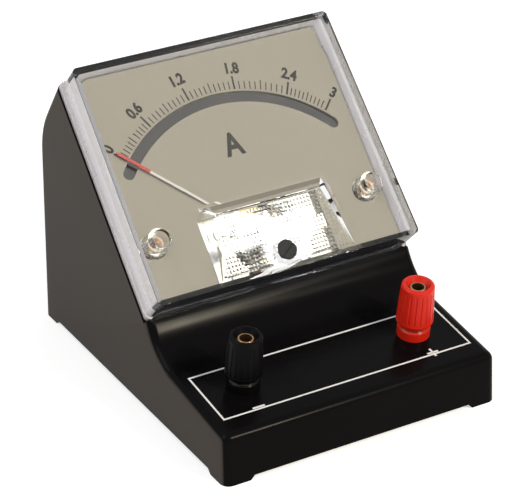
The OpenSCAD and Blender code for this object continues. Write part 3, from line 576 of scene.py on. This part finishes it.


# The case's side walls get a lighter colour: painted light falling on them from the side.
CASE_MOULDING = Finish("case_plastic", (0.0030, 0.0027, 0.0030), roughness=0.23, specular=0.035,
                       tone_spread=0.25, rough_spread=0.12, grain_depth=0.25,
                       flank_painted_light=(0.058, 0.050, 0.044))
BLACK_MOULDING = Finish("black_plastic", (0.0030, 0.0028, 0.0034), roughness=0.32, specular=0.05,
                        tone_spread=0.25, rough_spread=0.12, grain_depth=0.25)
ADJUSTER = Finish("adjuster_plastic", (0.0045, 0.0042, 0.0045), roughness=0.22, grain_depth=0.3)
RED_MOULDING = Finish("red_plastic", (0.58, 0.016, 0.006), roughness=0.3, specular=0.2,
                      tone_spread=0.06)
WHITE_MOULDING = Finish("white_plastic", (0.75, 0.75, 0.73), roughness=0.5)
CLEAR_MOULDING = ClearMoulding("clear_acrylic", (0.97, 0.98, 0.98), roughness=0.02,
                               specular_tint=0.4, tone_spread=0.0, rough_spread=0.02,
                               grain_scale=90.0, grain_depth=0.8)
# Pale, half-clear acrylic: painted light, seen through the cover's clear walls.
PAINTED_LIGHT_MOULDING = ClearMoulding("hazy_acrylic", (0.80, 0.77, 0.82), roughness=0.28,
                              tone_spread=0.06, grain_scale=600.0, grain_depth=0.3,
                              clearness=0.45)
# Dark-tinted acrylic: painted shade at the cover's foot and under its top.
PAINTED_SHADE_MOULDING = ClearMoulding("shaded_acrylic", (0.10, 0.10, 0.12), roughness=0.06,
                                specular_tint=0.5, tone_spread=0.0, rough_spread=0.02,
                                grain_scale=220.0, grain_depth=0.3, clearness=0.8)
DIAL_PAINT = Finish("dial_enamel", (0.326, 0.296, 0.254), roughness=0.55, specular=0.3,
                    tone_spread=0.03, tone_scale=25.0, grain_depth=0.4)
BLACK_INK = Finish("black_print", (0.012, 0.011, 0.010), roughness=0.6, specular=0.3)
WHITE_INK = Finish("white_print", (0.72, 0.72, 0.74), roughness=0.5, specular=0.3,
                   tone_spread=0.12, tone_scale=900.0)
# A dark mirror: its colour is a painted reflection of dim surroundings.
PAINTED_DIM_MIRROR = Finish("mirror_strip", (0.122, 0.114, 0.107), roughness=0.12, metallic=1.0,
                tone_spread=0.03)
STEEL = Finish("plain_steel", (0.52, 0.53, 0.54), roughness=0.35, metallic=1.0)
NICKEL = Finish("nickel_plate", (0.62, 0.60, 0.56), roughness=0.22, metallic=1.0,
                tone_spread=0.12, tone_scale=400.0)
SCREW_PLATE = Finish("screw_plate", (0.78, 0.60, 0.47), roughness=0.22, metallic=1.0,
                     tone_spread=0.5, tone_scale=700.0)
IRON = Finish("soft_iron", (0.16, 0.16, 0.17), roughness=0.5, metallic=0.8, tone_spread=0.2)
ZINC = Finish("zinc_plate", (0.80, 0.80, 0.80), roughness=0.38, metallic=0.6,
              tone_spread=0.05, tone_scale=300.0)
BRASS = Finish("bright_brass", (0.60, 0.43, 0.20), roughness=0.3, metallic=1.0,
               tone_spread=0.12, tone_scale=300.0)
POST_BRASS = Finish("aged_brass", (0.34, 0.22, 0.12), roughness=0.35, metallic=1.0,
                    tone_spread=0.3, tone_scale=500.0)
ALUMINIUM = Finish("bare_aluminium", (0.70, 0.71, 0.72), roughness=0.35, metallic=1.0)
WINDING = Finish("enamelled_wire", (0.10, 0.035, 0.015), roughness=0.3,
                 grain_scale=6000.0, grain_depth=0.8)
RESISTANCE = Finish("resistance_alloy", (0.50, 0.26, 0.14), metallic=1.0)

WEARS = {
    CASE_MOULDING: ("housing", "bottom_plate"),
    BLACK_MOULDING: ("black_collar", "black_knob", "minus_lead"),
    ADJUSTER: ("zero_adjuster",),
    RED_MOULDING: ("red_collar", "red_knob", "plus_lead"),
    WHITE_MOULDING: ("insulators",),
    CLEAR_MOULDING: ("cover",),
    DIAL_PAINT: ("dial_plate",),
    BLACK_INK: ("scale_marks",),
    WHITE_INK: ("ledge_frame",),
    PAINTED_DIM_MIRROR: ("scale_mirror",),
    STEEL: ("bottom_screws", "bracket_screws", "pointer_stops", "upper_staff", "lower_staff"),
    ZINC: ("movement_bracket", "iron_core"),
    NICKEL: ("black_washer", "red_washer"),
    SCREW_PLATE: ("cover_screws",),
    IRON: ("pole_shoes", "field_magnet"),
    POST_BRASS: ("black_stud", "red_stud"),
    BRASS: ("dial_spacers", "core_supports", "lower_bridge", "lower_jewel",
            "lower_hairspring", "black_nut", "red_nut", "solder_tags"),
    ALUMINIUM: ("coil_former", "upper_bridge", "zero_lever", "balance_weights", "upper_jewel",
                "upper_hairspring"),
    WINDING: ("coil_winding",),
    RESISTANCE: ("shunt",),
}


def dress(piece: bpy.types.Object, material: bpy.types.Material) -> None:
    """Give a piece one material.

    Args:
        piece: The piece.
        material: Its material.
    """
    piece.data.materials.clear()
    piece.data.materials.append(material)


def dress_nodes() -> dict[Finish, bpy.types.Material]:
    """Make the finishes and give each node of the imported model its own.

    Returns:
        The material of each finish.
    """
    materials = {}
    for finish, names in WEARS.items():
        materials[finish] = finish.build()
        for name in names:
            dress(frame["nodes"][name], materials[finish])
            LOG.info("dressed %s in %s", name, finish.name)
    pivot = Vector(joint("pointer_swing")["pos_m"])
    paint = PointerPaint("pointer_enamel", (0.62, 0.61, 0.58), pivot=pivot)
    dress(frame["nodes"]["pointer"], paint.build())
    LOG.info("dressed pointer in %s", paint.name)
    return materials


# Sub-assemblies ------------------------------------------------------------------------------


@dataclass
class DialPrint:
    """Numbers and unit letter printed on the dial."""

    face: Plane
    surface: float = 4.8 * MM
    ink_height: float = 0.05 * MM
    number_size: float = 5.05 * MM
    number_weight: float = 0.055 * MM
    number_edge: float = 0.165 * MM
    letter_size: float = 10.6 * MM
    letter_weight: float = 0.12 * MM
    letter_edge: float = 0.22 * MM
    letter_right: float = 0.3 * MM
    letter_rise: float = 33.9 * MM
    narrowing: float = 0.86
    # Each number with its turn from straight up and its distance from the pivot in millimetres.
    numbers: tuple[tuple[str, float, float], ...] = (
        ("0", 43.6, 58.8), ("0.6", 28.0, 59.3), ("1.2", 9.4, 59.7),
        ("1.8", -9.8, 59.3), ("2.4", -29.0, 59.3), ("3", -44.0, 59.3))

    def figure(self, text: str, size: float, weight: float, edge: float) -> bpy.types.Object:
        """Make one printed word as a thin mesh round its own middle.

        Args:
            text: What is printed.
            size: Size of the type.
            weight: How far the strokes are thickened by their offset.
            edge: How far they are thickened further by their bevel.

        Returns:
            The mesh, flat on its own XY plane.
        """
        deselect()
        bpy.ops.object.text_add()
        word = bpy.context.object
        word.data.body = text
        word.data.size = size
        word.data.align_x = "CENTER"
        word.data.align_y = "CENTER"
        word.data.offset = weight
        word.data.bevel_depth = edge
        word.data.bevel_resolution = 0
        word.data.extrude = self.ink_height / 2
        bpy.ops.object.convert(target="MESH")
        made = bpy.context.object
        low, high = (Vector(made.bound_box[corner]) for corner in (LOWEST, HIGHEST))
        centre = (low + high) / 2
        flatten = self.ink_height / (high.z - low.z)
        settle(made, Matrix.Diagonal((self.narrowing, 1.0, flatten, 1.0))
               @ Matrix.Translation(-centre))
        return made

    def build(self) -> list[bpy.types.Object]:
        """Make the figures on the dial.

        Returns:
            The printed pieces.
        """
        middle = self.ink_height / 2
        parts = []
        for text, angle, radius in self.numbers:
            part = self.figure(text, self.number_size, self.number_weight, self.number_edge)
            turned = self.face.place(z=self.surface, turn=angle)
            settle(part, turned @ Matrix.Translation((0.0, radius * MM, middle)))
            parts.append(part)
        numbers = join(parts, "dial_numbers")
        letter = self.figure("A", self.letter_size, self.letter_weight, self.letter_edge)
        letter.name = letter.data.name = "unit_letter"
        settle(letter, self.face.place(x=self.letter_right, y=self.letter_rise,
                                       z=self.surface + middle))
        return [numbers, letter]


@dataclass
class LedgeSigns:
    """Minus and plus signs printed in front of the binding posts."""

    stroke: float = 0.75 * MM
    ink_height: float = 0.06 * MM
    end_radius: float = 0.15 * MM
    minus_length: float = 4.2 * MM
    minus_right: float = -0.9 * MM
    plus_length: float = 4.0 * MM
    forward: float = -11.4 * MM

    def bar(self, length: float, turn: float) -> bpy.types.Object:
        """Make one printed stroke with slightly rounded ends.

        Args:
            length: Length of the stroke.
            turn: Its turn from running across.

        Returns:
            The stroke, flat on its own XY plane.
        """
        deselect()
        bpy.ops.mesh.primitive_cube_add(size=1.0)
        stroke = bpy.context.object
        size = Matrix.Diagonal((length, self.stroke, self.ink_height, 1.0))
        settle(stroke, Matrix.Rotation(math.radians(turn), 4, "Z") @ size)
        soften = stroke.modifiers.new("ends", "BEVEL")
        soften.width = self.end_radius
        soften.segments = 2
        soften.affect = "EDGES"
        soften.limit_method = "ANGLE"
        apply_modifiers(stroke)
        return stroke

    def build(self) -> list[bpy.types.Object]:
        """Make both signs.

        Returns:
            The minus sign and the plus sign.
        """
        middle = self.ink_height / 2
        minus = join([self.bar(self.minus_length, 0.0)], "minus_sign")
        settle(minus, ledge_face(Side.BLACK).place(x=self.minus_right, y=self.forward, z=middle))
        plus = join([self.bar(self.plus_length, turn) for turn in (0.0, 90.0)], "plus_sign")
        settle(plus, ledge_face(Side.RED).place(y=self.forward, z=middle))
        return [minus, plus]


class CoverFace(IntEnum):
    """Looks of the cover's faces, by the place of their material."""

    CLEAR = 0
    # Pale: painted light seen through the clear walls.
    PAINTED_LIGHT = 1
    # Dark: painted shade.
    SHADED = 2


@dataclass
class ClearCover:
    """Clear cover with softened edges, pale flanks of painted light and small pyramids inside its
    raised window.

    Places on it are given in the tilted face's own axes: across, up the slope from the middle of
    the cover, and out from the face. The pyramids stand in the sloping ceiling of the window's
    pocket, between two sets of V-shaped grooves. Faces whose normal leans out by less than
    wall_lean are walls, and those that lean by more than level_lean lie level with the face.
    """

    face: Plane
    pivot_up: float = -28.0 * MM
    front: float = 13.5 * MM

    # Softened edge of the front: its width, how far across or up it runs, and its least turn.
    edge_width: float = 0.28 * MM
    edge_from: tuple[float, float] = (45.5 * MM, 39.9 * MM)
    edge_turn: float = 57.0
    tolerance: float = 0.01 * MM

    # Where the cover isn't clear: pale painted light and dark painted shade.
    painted_light_top: float = 7.6 * MM
    flank_across: float = 44.0 * MM
    wall_across: float = 42.0 * MM
    top_wall_up: float = 36.0 * MM
    foot_up: float = -39.0 * MM
    seat_up: tuple[float, float] = (-38.5 * MM, 37.0 * MM)
    seat_out: float = 0.05 * MM
    wall_lean: float = 0.4
    level_lean: float = 0.9
    facing: float = 0.5
    smooth_under: float = 20.0

    # Ceiling of the window's pocket, as how far up and out its two edges lie, and its pyramids.
    ceiling_top: tuple[float, float] = (-17.8 * MM, 14.1 * MM)
    ceiling_foot: tuple[float, float] = (-37.8 * MM, 11.577 * MM)
    half_top: float = 18.75 * MM
    half_foot: float = 23.475 * MM
    pitch_across: float = 1.2 * MM
    pitch_along: float = 1.38 * MM
    groove_share: float = 0.96
    edge_share: float = 0.6
    depth: float = 0.55 * MM
    overlap: float = 0.001 * MM
    margin: float = 0.25 * MM

    def ceiling(self) -> tuple[Matrix, float]:
        """Find the sloping ceiling of the window's pocket.

        Returns:
            The placing of the middle of its top edge, with Y up the ceiling's slope and Z
            outwards, and the length of the slope.
        """
        run = self.ceiling_top[0] - self.ceiling_foot[0]
        rise = self.ceiling_top[1] - self.ceiling_foot[1]
        top = self.face.place(y=self.ceiling_top[0] - self.pivot_up, z=self.ceiling_top[1])
        return top @ Matrix.Rotation(math.atan2(rise, run), 4, "X"), math.hypot(run, rise)

    def half_at(self, down: float, slope: float) -> float:
        """Give half of the ceiling's width at a distance down its slope."""
        return self.half_top + (self.half_foot - self.half_top) * down / slope

    def groove(self, length: float, width: float, turn: float) -> bpy.types.Object:
        """Make the cutter of one V-shaped groove, with its sharp edge outwards.

        Args:
            length: Length of the groove.
            width: Its width at the ceiling.
            turn: Its turn from running across.

        Returns:
            The cutter, round its own origin on the ceiling.
        """
        deselect()
        bpy.ops.mesh.primitive_cylinder_add(vertices=3, radius=1.0, depth=1.0)
        cutter = bpy.context.object
        # The primitive's triangle is sqrt(3) wide and 1.5 high, and a third of it is below zero.
        shape = (Matrix.Rotation(math.radians(turn), 4, "Z")
                 @ Matrix.Translation((0.0, 0.0, self.depth / 3.0 - self.overlap))
                 @ Matrix.Diagonal((length, width / math.sqrt(3.0), self.depth / 1.5, 1.0))
                 @ Matrix.Rotation(math.radians(90.0), 4, "Y")
                 @ Matrix.Rotation(math.radians(180.0), 4, "Z"))
        settle(cutter, shape)
        return cutter

    def rows(self) -> bpy.types.Object:
        """Make the cutter of the grooves that run across.

        Returns:
            The joined cutter.
        """
        place, slope = self.ceiling()
        rows = []
        for i in range(int((slope - 2.0 * self.margin) / self.pitch_along)):
            down = self.margin + (i + 0.5) * self.pitch_along
            length = 2.0 * (self.half_at(down, slope) - self.margin)
            row = self.groove(length, self.groove_share * self.pitch_along, 0.0)
            settle(row, place @ Matrix.Translation((0.0, -down, 0.0)))
            rows.append(row)
        return join(rows, "row_cutter")

    def columns(self) -> bpy.types.Object:
        """Make the cutter of the grooves that run down, clear of the ceiling's slanting sides.

        Returns:
            The joined cutter.
        """
        place, slope = self.ceiling()
        widening = self.half_foot - self.half_top
        end = slope - self.margin
        columns = []
        reach = int((self.half_foot - self.margin) / self.pitch_across - 0.5)
        for i in range(-reach, reach + 1):
            x = i * self.pitch_across
            outer = abs(x) + self.margin + self.edge_share * self.pitch_across
            start = max(0.0, (outer - self.half_top) / widening) * slope + self.margin
            if end - start < self.pitch_along:
                continue
            column = self.groove(end - start, self.groove_share * self.pitch_across, 90.0)
            settle(column, place @ Matrix.Translation((x, -(start + end) / 2.0, 0.0)))
            columns.append(column)
        return join(columns, "column_cutter")

    def cut_pyramids(self, cover: bpy.types.Object) -> None:
        """Cut both sets of grooves into the ceiling of the window's pocket.

        Args:
            cover: The cover, merged and closed.
        """
        for cutter in (self.rows(), self.columns()):
            cut = cover.modifiers.new(cutter.name, "BOOLEAN")
            cut.operation = "DIFFERENCE"
            cut.solver = "MANIFOLD"
            cut.object = cutter
            apply_modifiers(cover)
            bpy.data.objects.remove(cutter)

    def soften_edges(self, cover: bpy.types.Object) -> None:
        """Bevel the outer edge of the cover's front.

        Args:
            cover: The cover, merged and still without its pyramids.
        """
        into_face = self.face.place().inverted()
        across, up = self.edge_from
        make_active(cover)
        bpy.ops.object.mode_set(mode="EDIT")
        bpy.ops.mesh.select_all(action="DESELECT")
        bpy.ops.mesh.select_mode(type="EDGE")
        shape = bmesh.from_edit_mesh(cover.data)
        for edge in shape.edges:
            ends = [into_face @ corner.co for corner in edge.verts]
            level = all(abs(end.z - self.front) < self.tolerance for end in ends)
            outer = all(abs(end.x) > across or abs(end.y + self.pivot_up) > up for end in ends)
            if level and outer and edge.calc_face_angle(0.0) > math.radians(self.edge_turn):
                edge.select = True
        bmesh.update_edit_mesh(cover.data)
        bpy.ops.mesh.bevel(offset=self.edge_width, segments=3, affect="EDGES",
                           clamp_overlap=True)
        bpy.ops.object.mode_set(mode="OBJECT")

    def split_flanks(self, cover: bpy.types.Object) -> None:
        """Cut the faces of both outer flanks along the upper end of their painted light.

        Args:
            cover: The cover, merged and still without its pyramids.
        """
        into_face = self.face.place().inverted()
        turn = into_face.to_3x3()
        make_active(cover)
        bpy.ops.object.mode_set(mode="EDIT")
        bpy.ops.mesh.select_mode(type="FACE")
        bpy.ops.mesh.select_all(action="DESELECT")
        shape = bmesh.from_edit_mesh(cover.data)
        for side in shape.faces:
            across = abs((into_face @ side.calc_center_median()).x)
            sideways = abs((turn @ side.normal).x)
            side.select = across > self.flank_across and sideways > self.facing
        bmesh.update_edit_mesh(cover.data)
        level = self.face.place(z=self.painted_light_top)
        bpy.ops.mesh.bisect(plane_co=level.translation, plane_no=self.face.out, use_fill=False)
        bpy.ops.object.mode_set(mode="OBJECT")

    def look_of(self, centre: Vector, normal: Vector) -> CoverFace:
        """Tell how one face of the cover looks.

        Args:
            centre: Its centre, in the tilted face's axes from under the pivot.
            normal: Its normal, in those axes.

        Returns:
            Pale painted light on the flanks, flange, seat and inner side walls, dark painted shade
            at the foot and under the top, and clear elsewhere.
        """
        across, up, out = abs(centre.x), centre.y + self.pivot_up, centre.z
        wall = abs(normal.z) < self.wall_lean
        outer = normal.x * centre.x + normal.y * up > 0.0
        side = wall and abs(normal.x) > self.facing and across > self.wall_across
        downhill = wall and normal.y < -self.facing
        under = normal.z < -self.level_lean and out < self.seat_out
        flank = side and outer and out < self.painted_light_top
        flange = normal.z > self.level_lean and out < self.painted_light_top and across > self.flank_across
        lining = (side or (downhill and up > self.top_wall_up)) and not outer
        seat = under and self.seat_up[0] < up < self.seat_up[1]
        # Pale painted light where light comes through the clear walls.
        if flank or flange or lining or seat:
            return CoverFace.PAINTED_LIGHT
        # Dark painted shade at the foot and under the top.
        if (downhill and up < self.foot_up) or (under and up >= self.seat_up[1]):
            return CoverFace.SHADED
        return CoverFace.CLEAR

    def paint_light_and_shade(self, cover: bpy.types.Object) -> int:
        """Give the faces of the cover their clear, painted-light and painted-shade materials.

        Args:
            cover: The finished cover, with its materials in the order of CoverFace.

        Returns:
            The number of faces that are no longer clear.
        """
        into_face = self.face.place().inverted()
        turn = into_face.to_3x3()
        found = 0
        for polygon in cover.data.polygons:
            look = self.look_of(into_face @ polygon.center, turn @ polygon.normal)
            polygon.material_index = look.value
            found += int(look is not CoverFace.CLEAR)
        return found

    def build(self, clear: bpy.types.Material, pale_painted_light: bpy.types.Material,
              shaded: bpy.types.Material) -> bpy.types.Object:
        """Make the cover from a copy of its node.

        Args:
            clear: The material of its polished faces.
            pale_painted_light: Pale painted light on its flanks, flange, seat and inner side
                walls.
            shaded: The dark material of painted shade on its foot and the underside of its top.

        Returns:
            The finished cover.
        """
        cover = loose_copy("cover", "clear_cover")
        self.soften_edges(cover)
        self.split_flanks(cover)
        self.cut_pyramids(cover)
        shade_by_angle(cover, self.smooth_under)
        dress(cover, clear)
        cover.data.materials.append(pale_painted_light)
        cover.data.materials.append(shaded)
        LOG.info("made %s, %d of its faces not clear", cover.name, self.paint_light_and_shade(cover))
        return cover


@dataclass
class CaseShell:
    """Moulded case with its faceted curves shaded smooth."""

    smooth_under: float = 25.0

    def build(self, moulding: bpy.types.Material) -> bpy.types.Object:
        """Make the shell from a copy of its node.

        Args:
            moulding: Its material.

        Returns:
            The finished shell.
        """
        shell = loose_copy("housing", "case_shell")
        shade_by_angle(shell, self.smooth_under)
        dress(shell, moulding)
        LOG.info("made %s", shell.name)
        return shell


# Studio --------------------------------------------------------------------------------------


def seen_ray(tree: bpy.types.NodeTree) -> bpy.types.NodeSocket:
    """Tell the rays that show the surroundings from those that only light the meter.

    Args:
        tree: The node tree of the floor or the world.

    Returns:
        A value that is 1 for camera, glossy and transmission rays, and 0 for the others.
    """
    path = tree.nodes.new("ShaderNodeLightPath")
    found = path.outputs["Is Camera Ray"]
    for name in ("Is Glossy Ray", "Is Transmission Ray"):
        found = calculate(tree, "MAXIMUM", found, path.outputs[name])
    return found


class LampShape(str, Enum):
    """Outlines of a lamp."""

    RECTANGLE = "RECTANGLE"
    ELLIPSE = "ELLIPSE"


@dataclass(frozen=True)
class Lamp:
    """A soft lamp that faces the meter, turned about its own axis."""

    name: str
    place: Place
    size: tuple[float, float]
    watts: float
    tint: Colour = (1.0, 1.0, 1.0)
    turn: float = 0.0
    shape: LampShape = LampShape.RECTANGLE
    target: Place = (0.0, 0.0, 0.05)

    def build(self) -> None:
        """Hang the lamp in its place."""
        deselect()
        bpy.ops.object.light_add(type="AREA", location=self.place)
        lamp = bpy.context.object
        lamp.name = self.name
        lamp.data.shape = self.shape.value
        lamp.data.size, lamp.data.size_y = self.size
        lamp.data.color = self.tint
        lamp.data.energy = self.watts
        aim = Vector(self.target) - Vector(self.place)
        turn = Quaternion((0.0, 0.0, 1.0), math.radians(self.turn))
        lamp.rotation_mode = "QUATERNION"
        lamp.rotation_quaternion = aim.to_track_quat("-Z", "Y") @ turn


LAMPS = (
    Lamp("key_lamp", (-1.0, 0.1, 1.0), (0.9, 0.9), 8.0),
    Lamp("riser_lamp", (0.37, -0.965, 0.745), (0.08, 0.12), 10.5, tint=(1.0, 0.91, 0.71)),
    Lamp("window_lamp", (0.6043, -0.8577, 0.8776), (0.076, 0.058), 0.49, turn=-36.0,
         shape=LampShape.ELLIPSE),
    Lamp("streak_lamp", (0.5616, -0.8525, 0.9118), (0.060, 0.018), 0.16, turn=-36.0,
         shape=LampShape.ELLIPSE),
)


@dataclass
class Studio:
    """Floor, lamps, world and camera."""

    camera_place: Place = (-0.3261, -0.5786, 0.3901)
    azimuth: float = -29.59
    elevation: float = 27.87
    roll: float = -0.77
    lens: float = 164.905
    shift: tuple[float, float] = (-0.02207, -0.00123)
    sensor: float = 36.0
    nearest: float = 0.05
    floor_size: float = 12.0
    floor_tone: Colour = (0.80, 0.80, 0.80)
    floor_glow: float = 0.54
    world_light: float = 0.42
    world_seen: float = 1.0

    def camera(self) -> None:
        """Make the camera at its place and viewing angle."""
        deselect()
        bpy.ops.object.camera_add()
        camera = bpy.context.object
        camera.name = "studio_camera"
        camera.data.sensor_width = self.sensor
        camera.data.lens = self.lens
        camera.data.shift_x, camera.data.shift_y = self.shift
        camera.data.clip_start = self.nearest
        turn = (Matrix.Rotation(math.radians(self.azimuth), 4, "Z")
                @ Matrix.Rotation(math.radians(90.0 - self.elevation), 4, "X")
                @ Matrix.Rotation(math.radians(self.roll), 4, "Z"))
        camera.matrix_world = Matrix.Translation(self.camera_place) @ turn
        bpy.context.scene.camera = camera

    def floor(self) -> None:
        """Make the pale floor under the meter."""
        deselect()
        bpy.ops.mesh.primitive_plane_add(size=self.floor_size, location=(0.0, 0.0, 0.0))
        floor = bpy.context.object
        floor.name = "studio_floor"
        made = bpy.data.materials.new("floor_white")
        made.use_nodes = True
        tree = made.node_tree
        feed(tree, tree.nodes["Principled BSDF"], {
            "Base Color": (*self.floor_tone, 1.0),
            "Roughness": 1.0,
            "Specular IOR Level": 0.0,
            "Emission Color": WHITE,
            "Emission Strength": calculate(tree, "MULTIPLY", seen_ray(tree), self.floor_glow),
        })
        dress(floor, made)

    def world(self) -> None:
        """Make the pale surroundings: white where seen, softer as a light."""
        world = bpy.data.worlds.new("studio_world")
        bpy.context.scene.world = world
        world.use_nodes = True
        tree = world.node_tree
        tree.nodes.clear()
        out = tree.nodes.new("ShaderNodeOutputWorld")
        light, seen = (tree.nodes.new("ShaderNodeBackground") for _ in range(2))
        feed(tree, light, {"Color": WHITE, "Strength": self.world_light})
        feed(tree, seen, {"Color": WHITE, "Strength": self.world_seen})
        mix = tree.nodes.new("ShaderNodeMixShader")
        feed(tree, mix, {"Fac": seen_ray(tree), 1: light.outputs[0], 2: seen.outputs[0]})
        feed(tree, out, {"Surface": mix.outputs[0]})

    def build(self) -> None:
        """Make the whole studio."""
        bpy.context.scene.view_settings.view_transform = "Standard"
        self.floor()
        self.world()
        for lamp in LAMPS:
            lamp.build()
        self.camera()


def main() -> None:
    """Build, dress and light the meter, and report each piece."""
    Studio().build()
    materials = dress_nodes()
    face = dial_face()
    # The cover's pale faces are painted light, its dark foot and top underside painted shade.
    window = ClearCover(face).build(materials[CLEAR_MOULDING], PAINTED_LIGHT_MOULDING.build(),
                                    PAINTED_SHADE_MOULDING.build())
    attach(window, Body.CASE.value)
    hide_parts("cover")
    shell = CaseShell().build(materials[CASE_MOULDING])
    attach(shell, Body.CASE.value)
    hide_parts("housing")
    for piece in DialPrint(face).build():
        dress(piece, materials[BLACK_INK])
        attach(piece, Body.CASE.value)
        LOG.info("made %s", piece.name)
    for piece in LedgeSigns().build():
        dress(piece, materials[WHITE_INK])
        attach(piece, Body.CASE.value)
        LOG.info("made %s", piece.name)
    deselect()


if __name__ == "__main__":
    main()
